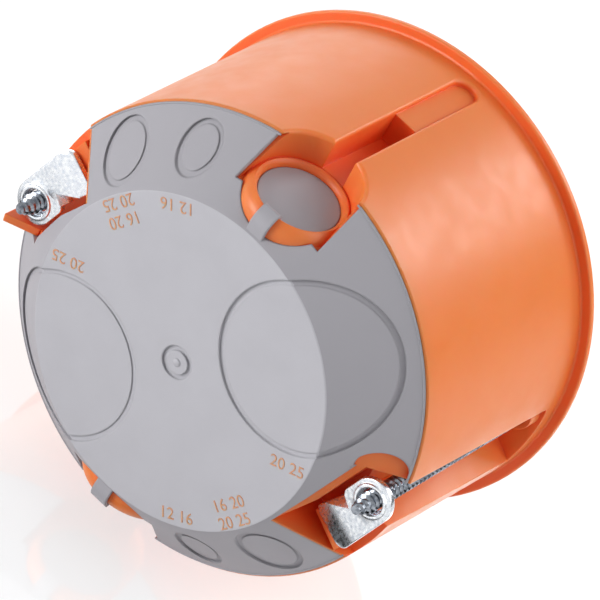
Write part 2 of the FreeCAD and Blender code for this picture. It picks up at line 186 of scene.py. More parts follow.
def new_material(name: str) -> tuple[bpy.types.Material, bpy.types.NodeTree]:
    """A material with an empty node tree.

    Args:
        name: the material's name.

    Returns:
        The material and its tree.
    """
    material = bpy.data.materials.new(name)
    material.use_nodes = True
    material.node_tree.nodes.clear()
    return material, material.node_tree


@dataclass(frozen=True)
class MouldedPolypropylene:
    """Injection-moulded polypropylene.

    A dense, warm orange with a soft sheen at a slant, slightly cloudy from the melt's flow, and a
    fine spark-eroded grain that breaks up the highlights. Its recesses are painted a redder shade,
    mixed in by ambient occlusion, for the light that bounces about in them.
    """

    name: str = "moulded_polypropylene"
    colour: str = "#E58140"
    cloud: str = "#DF7837"
    cloud_mm: float = 14.0
    # painted shade: a redder colour mixed in where walls shelter the surface, for light bouncing in
    # recesses
    recess_shade_red: str = "#F25220"
    recess_shade_reach_mm: float = 6.0     # a wall nearer than this shelters a spot, which then gets painted shade
    grain_mm: float = 0.35   # the real grain is near 0.1 mm, drawn coarser so that it shows
    grain_depth_mm: float = 0.012
    grain_strength: float = 0.6
    flow_mm: float = 3.5     # patches of duller and brighter gloss
    roughness: tuple[float, float] = (0.34, 0.44)
    ior: float = 1.49
    shine: float = 0.4
    edge_round_mm: float = 0.22
    glow: float = 0.5
    glow_mm: float = 1.5
    glow_reach: tuple[float, float, float] = (1.0, 0.35, 0.12)    # of red, green and blue light

    def material(self) -> bpy.types.Material:
        """Builds the material.

        Returns:
            The finished material.
        """
        material, tree = new_material(self.name)
        point = add_node(tree, "ShaderNodeTexCoord").outputs["Object"]
        cloud = add_node(
            tree, "ShaderNodeTexNoise", {"Scale": per_size(self.cloud_mm), "Detail": 3.0}, {"Vector": point}
        )
        colour = add_node(
            tree,
            "ShaderNodeMix",
            {"data_type": "RGBA", MIX_A: linear(self.colour), MIX_B: linear(self.cloud)},
            {"Factor": cloud.outputs["Fac"]},
        )
        # painted shade: spots sheltered by nearby walls, found by ambient occlusion, are mixed towards the
        # recess red
        recess_openness = add_node(
            tree, "ShaderNodeAmbientOcclusion", {"samples": 8, "Distance": self.recess_shade_reach_mm * MM}
        )
        painted_recess_shade = add_node(
            tree,
            "ShaderNodeMix",
            {"data_type": "RGBA", MIX_A: linear(self.recess_shade_red)},
            {"Factor": recess_openness.outputs["AO"], MIX_B: colour.outputs[MIX_RESULT]},
        )
        flow = add_node(
            tree, "ShaderNodeTexNoise", {"Scale": per_size(self.flow_mm), "Detail": 4.0}, {"Vector": point}
        )
        least, most = NOISE_SPREAD
        low, high = self.roughness
        roughness = add_node(
            tree,
            "ShaderNodeMapRange",
            {"From Min": least, "From Max": most, "To Min": low, "To Max": high},
            {"Value": flow.outputs["Fac"]},
        )
        grain = add_node(
            tree, "ShaderNodeTexNoise", {"Scale": per_size(self.grain_mm), "Detail": 2.0}, {"Vector": point}
        )
        rounded = add_node(tree, "ShaderNodeBevel", {"Radius": self.edge_round_mm * MM})
        bump = add_node(
            tree,
            "ShaderNodeBump",
            {"Strength": self.grain_strength, "Distance": self.grain_depth_mm * MM},
            {"Height": grain.outputs["Fac"], "Normal": rounded.outputs["Normal"]},
        )
        shader = add_node(
            tree,
            "ShaderNodeBsdfPrincipled",
            {
                "IOR": self.ior,
                "Specular IOR Level": self.shine,
                "Subsurface Weight": self.glow,
                "Subsurface Radius": self.glow_reach,
                "Subsurface Scale": self.glow_mm * MM,
            },
            {
                "Base Color": painted_recess_shade.outputs[MIX_RESULT],
                "Roughness": roughness.outputs["Result"],
                "Normal": bump.outputs["Normal"],
            },
        )
        add_node(tree, "ShaderNodeOutputMaterial", {}, {"Surface": shader.outputs[0]})
        return material


@dataclass(frozen=True)
class MouldedElastomer:
    """Soft elastomer moulded over the rear of the box.

    A cool mid grey without gloss. The flat is smooth and pale, and the chamfer beyond flat_r_mm
    is a darker grey.
    """

    name: str = "moulded_elastomer"
    flat: str = "#B5B4BA"
    chamfer: str = "#A09EA4"
    tint: str = "#A4A2A8"
    flat_r_mm: float = 23.72
    cloud_mm: float = 6.0
    cloud_share: float = 0.16
    cloud_spread: tuple[float, float] = (0.35, 0.65)
    grain_mm: float = 0.4    # the real grain is near 0.15 mm, drawn coarser so that it shows
    grain_depth_mm: float = 0.014
    grain_strength: float = 0.7
    roughness: tuple[float, float] = (0.46, 0.58)
    ior: float = 1.45
    edge_round_mm: float = 0.35

    def material(self) -> bpy.types.Material:
        """Builds the material.

        Returns:
            The finished material.
        """
        material, tree = new_material(self.name)
        point = add_node(tree, "ShaderNodeTexCoord").outputs["Object"]
        across = add_node(tree, "ShaderNodeVectorMath", {"operation": "MULTIPLY", 1: (1, 0, 1)}, {0: point})
        radius = add_node(tree, "ShaderNodeVectorMath", {"operation": "LENGTH"}, {0: across.outputs[0]})
        outside = add_node(
            tree,
            "ShaderNodeMath",
            {"operation": "GREATER_THAN", 1: self.flat_r_mm * MM},
            {0: radius.outputs["Value"]},
        )
        zone = add_node(
            tree,
            "ShaderNodeMix",
            {"data_type": "RGBA", MIX_A: linear(self.flat), MIX_B: linear(self.chamfer)},
            {"Factor": outside.outputs[0]},
        )
        cloud = add_node(
            tree, "ShaderNodeTexNoise", {"Scale": per_size(self.cloud_mm), "Detail": 5.0}, {"Vector": point}
        )
        least, most = self.cloud_spread
        share = add_node(
            tree,
            "ShaderNodeMapRange",
            {"From Min": least, "From Max": most, "To Min": 0.0, "To Max": self.cloud_share},
            {"Value": cloud.outputs["Fac"]},
        )
        colour = add_node(
            tree,
            "ShaderNodeMix",
            {"data_type": "RGBA", MIX_B: linear(self.tint)},
            {"Factor": share.outputs["Result"], MIX_A: zone.outputs[MIX_RESULT]},
        )
        least, most = NOISE_SPREAD
        low, high = self.roughness
        roughness = add_node(
            tree,
            "ShaderNodeMapRange",
            {"From Min": least, "From Max": most, "To Min": low, "To Max": high},
            {"Value": cloud.outputs["Fac"]},
        )
        grain = add_node(
            tree, "ShaderNodeTexNoise", {"Scale": per_size(self.grain_mm), "Detail": 3.0}, {"Vector": point}
        )
        rounded = add_node(tree, "ShaderNodeBevel", {"Radius": self.edge_round_mm * MM})
        bump = add_node(
            tree,
            "ShaderNodeBump",
            {"Strength": self.grain_strength, "Distance": self.grain_depth_mm * MM},
            {"Height": grain.outputs["Fac"], "Normal": rounded.outputs["Normal"]},
        )
        shader = add_node(
            tree,
            "ShaderNodeBsdfPrincipled",
            {"IOR": self.ior},
            {
                "Base Color": colour.outputs[MIX_RESULT],
                "Roughness": roughness.outputs["Result"],
                "Normal": bump.outputs["Normal"],
            },
        )
        add_node(tree, "ShaderNodeOutputMaterial", {}, {"Surface": shader.outputs[0]})
        return material


@dataclass(frozen=True)
class ZincPlate:
    """Bright zinc plating on pressed steel sheet or on a rolled thread.

    A cool, pale metal. Plated in a barrel, it is mottled with small duller patches and dings, so
    its reflections are broken and soft-edged.
    """

    name: str = "zinc_plated_sheet"
    colour: str = "#F0F2F4"
    dull: str = "#CBD1DA"
    patch_mm: float = 0.5
    patch_spread: tuple[float, float] = (0.36, 0.66)
    ding_mm: float = 0.35
    ding_depth_mm: float = 0.016
    ding_strength: float = 0.1
    roughness: tuple[float, float] = (0.2, 0.32)

    def material(self) -> bpy.types.Material:
        """Builds the material.

        Returns:
            The finished material.
        """
        material, tree = new_material(self.name)
        point = add_node(tree, "ShaderNodeTexCoord").outputs["Object"]
        patches = add_node(
            tree, "ShaderNodeTexNoise", {"Scale": per_size(self.patch_mm), "Detail": 3.0}, {"Vector": point}
        )
        least, most = self.patch_spread
        patchy = add_node(
            tree,
            "ShaderNodeMapRange",
            {"From Min": least, "From Max": most},
            {"Value": patches.outputs["Fac"]},
        )
        colour = add_node(
            tree,
            "ShaderNodeMix",
            {"data_type": "RGBA", MIX_A: linear(self.colour), MIX_B: linear(self.dull)},
            {"Factor": patchy.outputs["Result"]},
        )
        low, high = self.roughness
        roughness = add_node(
            tree,
            "ShaderNodeMapRange",
            {"To Min": low, "To Max": high},
            {"Value": patchy.outputs["Result"]},
        )
        dings = add_node(
            tree, "ShaderNodeTexNoise", {"Scale": per_size(self.ding_mm), "Detail": 2.0}, {"Vector": point}
        )
        bump = add_node(
            tree,
            "ShaderNodeBump",
            {"Strength": self.ding_strength, "Distance": self.ding_depth_mm * MM},
            {"Height": dings.outputs["Fac"]},
        )
        shader = add_node(
            tree,
            "ShaderNodeBsdfPrincipled",
            {"Metallic": 1.0},
            {
                "Base Color": colour.outputs[MIX_RESULT],
                "Roughness": roughness.outputs["Result"],
                "Normal": bump.outputs["Normal"],
            },
        )
        add_node(tree, "ShaderNodeOutputMaterial", {}, {"Surface": shader.outputs[0]})
        return material


@dataclass(frozen=True)
class GlossyTable:
    """White glossy table top.

    Pure white to the camera, with a faint mirror image of the box and its soft shadow. A black
    strip behind the box, which only mirrors see, gives the bright metal its dark edges.
    """

    name: str = "white_glossy_table"
    colour: str = "#E9E9EA"
    gloss: float = 0.4
    gloss_roughness: float = 0.04
    lift: tuple[float, float] = (0.66, 1.0)      # light added for the camera and mirrors
    lift_m: tuple[float, float] = (0.25, 0.9)    # how far from the origin each is reached
    seen_share: float = 0.6  # how much of the lit table they see besides
    strip_y_mm: float = 58.0
    strip_half_mm: float = 10.0                  # half of its width
    strip: str = "#0C0D10"

    def material(self) -> bpy.types.Material:
        """Builds the material.

        Returns:
            The finished material.
        """
        material, tree = new_material(self.name)
        matt = add_node(tree, "ShaderNodeBsdfDiffuse", {"Color": linear(self.colour)})
        gloss = add_node(tree, "ShaderNodeBsdfAnisotropic", {"Roughness": self.gloss_roughness})
        table = add_node(
            tree, "ShaderNodeMixShader", {0: self.gloss}, {1: matt.outputs[0], 2: gloss.outputs[0]}
        )
        point = add_node(tree, "ShaderNodeTexCoord").outputs["Object"]
        away = add_node(tree, "ShaderNodeVectorMath", {"operation": "LENGTH"}, {0: point})
        lift = add_node(
            tree,
            "ShaderNodeMapRange",
            {
                "From Min": self.lift_m[0],
                "From Max": self.lift_m[1],
                "To Min": self.lift[0],
                "To Max": self.lift[1],
            },
            {"Value": away.outputs["Value"]},
        )
        white = add_node(tree, "ShaderNodeEmission", {}, {"Strength": lift.outputs["Result"]})
        dimmed = add_node(tree, "ShaderNodeMixShader", {0: self.seen_share}, {2: table.outputs[0]})
        seen = add_node(tree, "ShaderNodeAddShader", {}, {0: dimmed.outputs[0], 1: white.outputs[0]})
        rays = add_node(tree, "ShaderNodeLightPath")
        either = add_node(
            tree,
            "ShaderNodeMath",
            {"operation": "MAXIMUM"},
            {0: rays.outputs[Ray.SEEN.value], 1: rays.outputs[Ray.MIRRORED.value]},
        )
        lit = add_node(
            tree,
            "ShaderNodeMixShader",
            {},
            {0: either.outputs[0], 1: table.outputs[0], 2: seen.outputs[0]},
        )
        place = add_node(tree, "ShaderNodeSeparateXYZ", {}, {0: point})
        inside = add_node(
            tree,
            "ShaderNodeMath",
            {"operation": "COMPARE", 1: self.strip_y_mm * MM, 2: self.strip_half_mm * MM},
            {0: place.outputs["Y"]},
        )
        flagged = add_node(
            tree,
            "ShaderNodeMath",
            {"operation": "MULTIPLY"},
            {0: inside.outputs[0], 1: rays.outputs[Ray.MIRRORED.value]},
        )
        black = add_node(tree, "ShaderNodeBsdfDiffuse", {"Color": linear(self.strip)})
        shader = add_node(
            tree, "ShaderNodeMixShader", {}, {0: flagged.outputs[0], 1: lit.outputs[0], 2: black.outputs[0]}
        )
        add_node(tree, "ShaderNodeOutputMaterial", {}, {"Surface": shader.outputs[0]})
        return material


def add_piece(
    name: str,
    shape: bmesh.types.BMesh,
    material: bpy.types.Material,
    body: str | None = None,
) -> bpy.types.Object:
    """Turns a shape in millimetres to an object in metres and puts it on its body.

    Args:
        name: the object's name.
        shape: the mesh, with faces outwards, which is freed here.
        material: the finish of the whole piece.
        body: the body that it moves with, or None for a piece of the studio.

    Returns:
        The object, with its place in its mesh.
    """
    bmesh.ops.transform(shape, matrix=Matrix.Scale(MM, 4), verts=shape.verts)
    for edge in shape.edges:
        edge.smooth = edge.calc_face_angle(0.0) < math.radians(SHARP_DEG)
    for face in shape.faces:
        face.smooth = True
    mesh = bpy.data.meshes.new(name)
    shape.to_mesh(mesh)
    shape.free()
    mesh.materials.append(material)
    piece = bpy.data.objects.new(name, mesh)
    bpy.context.scene.collection.objects.link(piece)
    if body is None:
        piece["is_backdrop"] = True
    else:
        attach(piece, body)
    log.info("%s: %d faces", name, len(mesh.polygons))
    return piece


def cut_along(
    shape: bmesh.types.BMesh, place: Sequence[float], away: Sequence[float], clear: bool
) -> None:
    """Cuts a shape along a plane.

    Args:
        shape: the shape.
        place: a point on the plane.
        away: the direction that the plane faces.
        clear: True takes away what lies on that side, False only cuts the faces apart.
    """
    bmesh.ops.bisect_plane(
        shape,
        geom=shape.verts[:] + shape.edges[:] + shape.faces[:],
        dist=SNAP,
        plane_co=place,
        plane_no=away,
        clear_outer=clear,
    )


def draw_line(
    shape: bmesh.types.BMesh, points: list[tuple[float, float, float]]
) -> list[bmesh.types.BMVert | bmesh.types.BMEdge]:
    """Draws an open line of edges.

    Args:
        shape: the mesh that gets the line.
        points: its corners, one after another.

    Returns:
        The vertices and edges of the line, ready to be spun.
    """
    corners = [shape.verts.new(point) for point in points]
    return corners + [shape.edges.new(pair) for pair in zip(corners, corners[1:])]


def close_and_turn_out(shape: bmesh.types.BMesh) -> None:
    """Merges what meets, closes open ends and points the faces outwards.

    Args:
        shape: the shape.
    """
    bmesh.ops.remove_doubles(shape, verts=shape.verts, dist=WELD)
    open_edges = [e for e in shape.edges if e.is_boundary]
    if open_edges:
        bmesh.ops.holes_fill(shape, edges=open_edges, sides=0)
    bmesh.ops.recalc_face_normals(shape, faces=shape.faces)


@dataclass(frozen=True)
class Thread:
    """A shank with a rolled right-hand thread, along +Y about an axis through the origin."""

    radius: float            # to the crests
    pitch: float
    depth: float
    point_length: float
    point_radius: float
    point_fade: float = 0.1  # how much the crests on the point lose besides
    steps_a_turn: int = 28
    tooth: tuple[tuple[float, float], ...] = (    # shares of the pitch and of the depth
        (0.0, 0.0),
        (0.18, 0.0),
        (0.46, 1.0),
        (0.56, 1.0),
        (0.84, 0.0),
        (1.0, 0.0),
    )

    def shape(self, start: float, end: float) -> bmesh.types.BMesh:
        """Builds the shank.

        Args:
            start: where it starts along Y.
            end: where its point ends.

        Returns:
            The closed mesh, in millimetres.
        """
        shape = bmesh.new()
        turns = math.ceil((end - start) / self.pitch) + 1
        root = self.radius - self.depth
        first = start - self.pitch
        line = [(0, first + along * self.pitch, root + out * self.depth) for along, out in self.tooth]
        bmesh.ops.spin(
            shape,
            geom=draw_line(shape, line),
            cent=(0, 0, 0),
            axis=(0, 1, 0),
            dvec=(0, self.pitch / self.steps_a_turn, 0),
            angle=math.tau * turns,
            steps=turns * self.steps_a_turn,
            use_merge=False,
            use_duplicate=False,
        )
        bmesh.ops.remove_doubles(shape, verts=shape.verts, dist=WELD)
        cut_along(shape, (0, start, 0), (0, -1, 0), clear=True)
        cut_along(shape, (0, end, 0), (0, 1, 0), clear=True)
        self.draw_point(shape, end)
        close_and_turn_out(shape)
        return shape

    def draw_point(self, shape: bmesh.types.BMesh, end: float) -> None:
        """Draws the shank in to a blunt point, with the thread running out on it.

        Args:
            shape: the shank.
            end: where it ends.
        """
        for vertex in shape.verts:
            past = (vertex.co.y - end + self.point_length) / self.point_length
            if past > 0:
                limit = self.radius + (self.point_radius - self.radius) * past
                reach = min(1.0, limit / self.radius * (1 - self.point_fade * past))
                vertex.co.x *= reach
                vertex.co.z *= reach


@dataclass(frozen=True)
class Screw:
    """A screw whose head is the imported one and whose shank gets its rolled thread."""

    node: str
    body: str
    slot: str
    head_y: float            # rear face of the head
    thread: Thread
    overlap: float = 0.05    # how far shank and head reach into each other

    def head(self, node: bpy.types.Object) -> bmesh.types.BMesh:
        """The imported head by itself, closed behind.

        Args:
            node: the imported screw.

        Returns:
            The head, in millimetres.
        """
        shape = bmesh.new()
        shape.from_mesh(node.data)
        bmesh.ops.transform(shape, matrix=Matrix.Scale(1 / MM, 4), verts=shape.verts)
        bmesh.ops.remove_doubles(shape, verts=shape.verts, dist=WELD)
        cut_along(shape, (0, self.head_y + self.overlap, 0), (0, 1, 0), clear=True)
        close_and_turn_out(shape)
        return shape

    def build(self, frame: dict, material: bpy.types.Material) -> bpy.types.Object:
        """Builds the screw in place of its node.

        Args:
            frame: the loaded frame.
            material: the finish.

        Returns:
            The screw.
        """
        low, high = (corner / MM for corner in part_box(self.node))
        shape = self.thread.shape(self.head_y - self.overlap, high.y)
        axis = Vector(((low.x + high.x) / 2, 0, (low.z + high.z) / 2))
        bmesh.ops.translate(shape, vec=axis, verts=shape.verts)
        head = self.head(frame["nodes"][self.node])
        spare = bpy.data.meshes.new(self.node + "_head")
        head.to_mesh(spare)
        head.free()
        shape.from_mesh(spare)
        bpy.data.meshes.remove(spare)
        piece = add_piece("threaded_" + self.node, shape, material, self.body)
        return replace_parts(piece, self.node)


@dataclass(frozen=True)
class ClampClaw:
    """A pressed claw: round lobe with a drawn collar, pressed dart and blade with a bent tip.

    In its own frame, u runs along the folded blade from the screw, v across it towards the rim,
    and w rearwards from the claw's rear face.
    """

    side: Side
    lobe_r: float = 3.25
    reach: float = 9.5
    width: float = 7.1
    tilt: float = 29.0       # degrees that the folded left blade leans from -Z to +X
    flare: float = 11.0      # degrees that its outer edge leans outwards
    sheet: float = 1.0
    inner_corner_r: float = 1.0
    outer_corner_r: float = 1.7
    end_skew: float = 0.5    # how much shorter the blade is along its outer edge
    bend_at: float = 6.6
    bend_half: float = 1.3
    bend_cuts: tuple[float, ...] = (-1, -0.6, -0.2, 0.2, 0.6, 1)    # across it, shares of bend_half
    tip_drop: float = 0.62
    lobe_corner: tuple[float, float] = (3.3, -2.65)
    lobe_corner_r: float = 0.35
    dart_apex: tuple[float, float] = (3.9, 0.0)
    dart_mouth: tuple[float, float, float] = (3.75, 4.5, 7.4)    # u of its start, fold and end
    dart_drop: float = 1.1
    edge_round: float = 0.17
    edge_segments: int = 3
    collar_foot_r: float = 2.75
    foot_round: tuple[float, float] = (0.18, 0.05)     # inwards and up
    collar_crest_r: float = 2.3
    crest_round: tuple[float, float] = (0.16, 0.06)    # outwards and down
    collar_rise: float = 0.35
    bore_mouth_r: float = 2.0
    mouth_round: tuple[float, float] = (0.08, 0.05)    # outwards and down
    mouth_drop: float = 0.16                           # from the crest to the bore's mouth
    bore_r: float = 1.56
    bore_groove: float = 0.1
    bore_pitch: float = 0.3
    bore_chamfer: float = 0.12
    segments: int = 56
    wall_w: float = 0.5                                # a wall's normal has a smaller w
    sliver_area: float = 0.002                         # a smaller face has no sure normal
    large_corner: float = 1.0                          # roundings past this get large_segments
    large_segments: int = 14
    small_segments: int = 4

    def outer_edge(self, u: float) -> float:
        """How far the blade's outer edge lies from the screw at u."""
        lean = math.radians(self.flare)
        return self.lobe_r / math.cos(lean) + u * math.tan(lean)

    def inner_edge(self) -> float:
        """Where the blade's inner edge lies, across the blade."""
        return self.outer_edge(self.reach) - self.width

    def dart_points(self) -> list[Vector]:
        """The start, the fold and the end of the dart's mouth, on the blade's inner edge."""
        return [Vector((u, self.inner_edge(), 0)) for u in self.dart_mouth]

    def skew(self) -> float:
        """How much u falls for each millimetre across, along the blade's end and its bend."""
        return self.end_skew / self.width

    def corners(self) -> list[tuple[float, float, float]]:
        """The outline before its corners are rounded.

        Returns:
            For each corner its u, v and the length that its rounding takes off each side.
        """
        lean = math.radians(self.flare)
        shoulder = self.lobe_r * math.tan((math.pi / 2 - lean) / 2)
        outer_u = self.reach - self.end_skew
        return [
            (-self.lobe_r, -self.lobe_r, self.lobe_r),
            (0.0, -self.lobe_r, 0.0),
            (*self.lobe_corner, self.lobe_corner_r),
            (self.dart_mouth[0], self.inner_edge(), 0.0),
            (self.reach, self.inner_edge(), self.inner_corner_r),
            (outer_u, self.outer_edge(outer_u), self.outer_corner_r),
            (-self.lobe_r, self.outer_edge(-self.lobe_r), shoulder),
        ]

    def outline(self, shape: bmesh.types.BMesh) -> None:
        """Draws the rounded outline as one face.

        Args:
            shape: the mesh that gets it.
        """
        corners = self.corners()
        vertices = [shape.verts.new((u, v, 0)) for u, v, _ in corners]
        shape.faces.new(vertices)
        for vertex, (_, _, rounding) in zip(vertices, corners):
            if rounding:
                large = rounding > self.large_corner
                bmesh.ops.bevel(
                    shape,
                    geom=[vertex],
                    offset=rounding,
                    offset_type="OFFSET",
                    segments=self.large_segments if large else self.small_segments,
                    profile=0.5,
                    material=-1,
                    affect="VERTICES",
                )
        bmesh.ops.remove_doubles(shape, verts=shape.verts, dist=WELD)

    def plate(self, shape: bmesh.types.BMesh) -> None:
        """Fills the outline round the collar, cuts it across its folds and gives it its thickness.

        Args:
            shape: the outline.
        """
        bmesh.ops.delete(shape, geom=shape.faces[:], context="FACES_ONLY")
        bmesh.ops.create_circle(shape, cap_ends=False, radius=self.collar_foot_r, segments=self.segments)
        bmesh.ops.triangle_fill(shape, use_beauty=True, edges=shape.edges[:])
        apex = Vector((*self.dart_apex, 0))
        folds = [(apex, (point - apex).cross(Vector((0, 0, 1)))) for point in self.dart_points()]
        for share in self.bend_cuts:
            middle = Vector((self.bend_at + share * self.bend_half, self.inner_edge(), 0))
            folds.append((middle, Vector((1, self.skew(), 0))))
        for point, across in folds:
            cut_along(shape, point, across, clear=False)
        made = bmesh.ops.extrude_face_region(shape, geom=shape.faces[:])
        moved = [v for v in made["geom"] if isinstance(v, bmesh.types.BMVert)]
        bmesh.ops.translate(shape, vec=(0, 0, -self.sheet), verts=moved)
        walls = [f for f in shape.faces if self.on_collar_foot(f)]
        bmesh.ops.delete(shape, geom=walls, context="FACES_ONLY")
        rims = [e for e in shape.edges if e.calc_face_angle(0.0) > math.radians(SHARP_DEG)]
        bmesh.ops.bevel(
            shape,
            geom=rims,
            offset=self.edge_round,
            offset_type="OFFSET",
            segments=self.edge_segments,
            profile=0.5,
            material=-1,
            affect="EDGES",
        )

    def on_collar_foot(self, face: bmesh.types.BMFace) -> bool:
        """Tells the wall of the hole that the collar fills.

        Args:
            face: a face of the plate.

        Returns:
            True where the face is part of that wall.
        """
        middle = face.calc_center_median()
        upright = abs(face.normal.z) < self.wall_w or face.calc_area() < self.sliver_area
        return upright and math.hypot(middle.x, middle.y) < self.collar_foot_r + WELD

    def collar(self, shape: bmesh.types.BMesh) -> None:
        """Spins the drawn collar with its countersunk, threaded bore.

        Args:
            shape: the plate, which gets the collar.
        """
        foot, crest, mouth = self.collar_foot_r, self.collar_crest_r, self.bore_mouth_r
        rise = self.collar_rise
        top, bottom = rise - self.mouth_drop, self.bore_chamfer - self.sheet
        profile = [
            (foot, 0.0),
            (foot - self.foot_round[0], self.foot_round[1]),
            (crest + self.crest_round[0], rise - self.crest_round[1]),
            (crest, rise),
            (mouth + self.mouth_round[0], rise - self.mouth_round[1]),
            (mouth, top),
        ]
        turns = int((top - bottom) / self.bore_pitch)
        for turn in range(1, turns):
            share = turn / turns
            radius = mouth + (self.bore_r - mouth) * share
            depth = top + (bottom - top) * share
            profile += [(radius, depth), (radius + self.bore_groove, depth - self.bore_pitch / 2)]
        back = -self.sheet
        profile += [(self.bore_r, bottom), (self.bore_r + self.bore_chamfer, back), (foot, back)]
        bmesh.ops.spin(
            shape,
            geom=draw_line(shape, [(0, r, w) for r, w in profile]),
            cent=(0, 0, 0),
            axis=(0, 0, 1),
            angle=math.tau,
            steps=self.segments,
            use_merge=True,
            use_duplicate=False,
        )

    def bend(self, shape: bmesh.types.BMesh) -> None:
        """Bends the tip forwards round a smooth radius.

        Args:
            shape: the plate with its collar.
        """
        run = 2 * self.bend_half
        slope = self.tip_drop / (self.reach - self.bend_at)
        for vertex in shape.verts:
            level = vertex.co.x + self.skew() * (vertex.co.y - self.inner_edge())
            past = level - self.bend_at + self.bend_half
            if past > 0:
                inside = min(past, run)
                vertex.co.z -= slope * (inside * inside / (2 * run) + (past - inside))

    def press_dart(self, shape: bmesh.types.BMesh) -> None:
        """Presses the V-shaped dart forwards between the lobe and the blade.

        Args:
            shape: the plate.
        """
        apex = Vector((*self.dart_apex, 0))
        start, fold, end = self.dart_points()
        near = (start - apex).cross(Vector((0, 0, 1))).normalized()
        far = (end - apex).cross(Vector((0, 0, -1))).normalized()
        for vertex in shape.verts:
            flat = Vector((vertex.co.x, vertex.co.y, 0)) - apex
            from_near = flat.dot(near) / (fold - apex).dot(near)
            from_far = flat.dot(far) / (fold - apex).dot(far)
            inside = min(from_near, from_far)
            if inside > 0:
                vertex.co.z -= self.dart_drop * min(inside, 1.0)

    def placed(self, axis: Vector, rear_y: float) -> Matrix:
        """The turn and shift from the claw's own frame to the folded left claw.

        Args:
            axis: where the screw's axis crosses the middle plane.
            rear_y: the claw's rear face.

        Returns:
            The matrix, in millimetres.
        """
        lean = math.radians(self.tilt)
        along = Vector((math.sin(lean), 0, -math.cos(lean)))
        across = Vector((-math.cos(lean), 0, -math.sin(lean)))
        turn = Matrix((along, across, Vector((0, 1, 0)))).transposed().to_4x4()
        return Matrix.Translation((axis.x, rear_y, axis.z)) @ turn

    def build(self, frame: dict, material: bpy.types.Material) -> bpy.types.Object:
        """Builds the claw in place of its node.

        Args:
            frame: the loaded frame.
            material: the finish.

        Returns:
            The claw.
        """
        node, body = f"claw_{self.side.label()}", f"{self.side.label()}_claw"
        hinge = next(j for j in frame["joints"] if j["child"] == body)
        axis = self.side.turn().inverted() @ (Vector(hinge["pos_m"]) / MM)
        rear_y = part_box(node)[1].y / MM - self.collar_rise
        shape = bmesh.new()
        self.outline(shape)
        self.plate(shape)
        self.press_dart(shape)
        self.collar(shape)
        self.bend(shape)
        bmesh.ops.remove_doubles(shape, verts=shape.verts, dist=WELD)
        bmesh.ops.recalc_face_normals(shape, faces=shape.faces)
        place = self.side.turn() @ self.placed(axis, rear_y)
        bmesh.ops.transform(shape, matrix=place, verts=shape.verts)
        piece = add_piece(f"pressed_claw_{self.side.label()}", shape, material, body)
        weighted = piece.modifiers.new("Even shading", "WEIGHTED_NORMAL")
        weighted.keep_sharp = True
        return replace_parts(piece, node)


@dataclass(frozen=True)
class SizeMark:
    """Plain numbers raised on the flat rear, beside the entries that they belong to."""

    name: str
    lines: tuple[str, ...]
    centre: tuple[float, float]      # x and z of the middle of the figures
    baseline: tuple[float, float]    # x and z of the way that they read
    height: float = 1.7
    leading: float = 2.5
    raised: float = 0.06
    cap_share: float = 0.7   # height of a figure over the size of the letters

    def figures(self) -> bpy.types.Mesh:
        """The figures as a mesh about the origin.

        Returns:
            The mesh, in millimetres.
        """
        curve = bpy.data.curves.new(self.name, "FONT")
        curve.body = "\n".join(self.lines)
        curve.align_x = "CENTER"
        curve.size = self.height / self.cap_share
        curve.space_line = self.leading / curve.size
        curve.extrude = self.raised
        curve.resolution_u = 4
        stand_in = bpy.data.objects.new(self.name, curve)
        mesh = bpy.data.meshes.new_from_object(stand_in)
        bpy.data.objects.remove(stand_in)
        bpy.data.curves.remove(curve)
        return mesh

    def build(self, side: Side, rear_y: float, material: bpy.types.Material) -> bpy.types.Object:
        """Builds the mark on one side of the rear.

        Args:
            side: left for the mark itself, right for its turned copy.
            rear_y: the flat rear.
            material: the finish.

        Returns:
            The mark.
        """
        shape = bmesh.new()
        mesh = self.figures()
        shape.from_mesh(mesh)
        bpy.data.meshes.remove(mesh)
        bmesh.ops.remove_doubles(shape, verts=shape.verts, dist=WELD)
        bmesh.ops.recalc_face_normals(shape, faces=shape.faces)
        middle = (len(self.lines) - 1) * self.leading / 2 - self.height / 2
        bmesh.ops.translate(shape, vec=(0, middle, 0), verts=shape.verts)
        reading = Vector((self.baseline[0], 0, self.baseline[1])).normalized()
        outwards = Vector((0, 1, 0))
        upright = outwards.cross(reading)
        turn = Matrix((reading, upright, outwards)).transposed().to_4x4()
        place = Matrix.Translation((self.centre[0], rear_y, self.centre[1])) @ turn
        bmesh.ops.transform(shape, matrix=side.turn() @ place, verts=shape.verts)
        return add_piece(f"{self.name}_{side.label()}", shape, material, "box")


